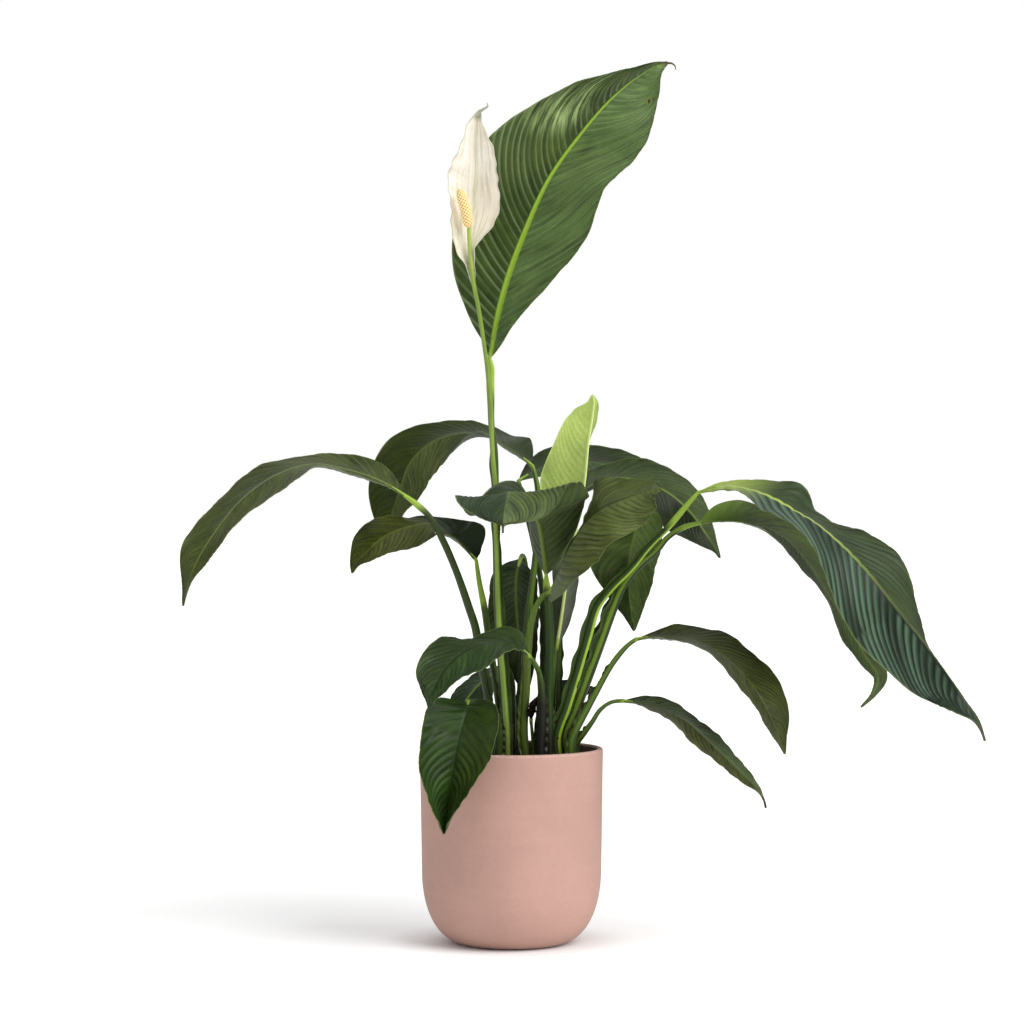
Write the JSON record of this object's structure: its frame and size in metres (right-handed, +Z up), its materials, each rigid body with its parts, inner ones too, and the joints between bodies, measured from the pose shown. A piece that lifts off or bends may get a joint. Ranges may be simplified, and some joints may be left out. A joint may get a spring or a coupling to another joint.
{
  "type": "potted peace lily",
  "caption": "Peace lily houseplant with arching dark green leaves, one upright leaf and a white flower, growing in a straight-sided pink ceramic pot with a rounded foot.",
  "frame": {"origin": "centre of the pot's flat base, on the floor", "axes": "+Z up along the pot's axis; -Y to the front, where the flower faces; +X to the viewer's right, where the longest leaf arches"},
  "size_m": [0.7634, 0.3584, 0.8722],
  "materials": {
    "ceramic": "matte unglazed dusty pink",
    "potting_mix": "rough dark brown",
    "crown": "rough brown",
    "leaf": "satin dark green, ribbed by side veins",
    "young_leaf": "satin light yellow-green",
    "withered_leaf": "dry, almost black",
    "stem": "satin green, paler where a stem meets its blade",
    "spathe": "satin cream white",
    "spadix": "matte pale yellow, knobbly"
  },
  "bodies": {
    "root": {"pot": "ceramic", "potting_mix": "potting_mix", "crown_left": "crown", "crown_right": "crown", "upright_leaf_blade": "leaf", "upright_leaf_stem": "stem", "long_left_leaf_blade": "leaf", "long_left_leaf_stem": "stem", "back_left_leaf_blade": "leaf", "back_left_leaf_stem": "stem", "mid_left_leaf_blade": "leaf", "mid_left_leaf_stem": "stem", "front_centre_leaf_blade": "leaf", "front_centre_leaf_stem": "stem", "big_centre_leaf_blade": "leaf", "big_centre_leaf_stem": "stem", "back_right_leaf_blade": "leaf", "back_right_leaf_stem": "stem", "rear_leaf_blade": "leaf", "rear_leaf_stem": "stem", "young_leaf_blade": "young_leaf", "young_leaf_stem": "stem", "hanging_right_leaf_blade": "leaf", "hanging_right_leaf_stem": "stem", "long_right_leaf_blade": "leaf", "long_right_leaf_stem": "stem", "under_right_leaf_blade": "leaf", "under_right_leaf_stem": "stem", "lower_right_leaf_blade": "leaf", "lower_right_leaf_stem": "stem", "lowest_right_leaf_blade": "leaf", "lowest_right_leaf_stem": "stem", "lower_left_leaf_blade": "leaf", "lower_left_leaf_stem": "stem", "pot_front_leaf_blade": "leaf", "pot_front_leaf_stem": "stem", "tucked_left_leaf_blade": "leaf", "tucked_left_leaf_stem": "stem", "inner_leaf_blade": "leaf", "inner_leaf_stem": "stem", "small_dark_leaf_blade": "leaf", "small_dark_leaf_stem": "stem", "withered_leaf_blade": "withered_leaf", "withered_leaf_stem": "stem", "flower_stalk": "stem", "spathe": "spathe", "spadix": "spadix"}
  },
  "joints": []
}
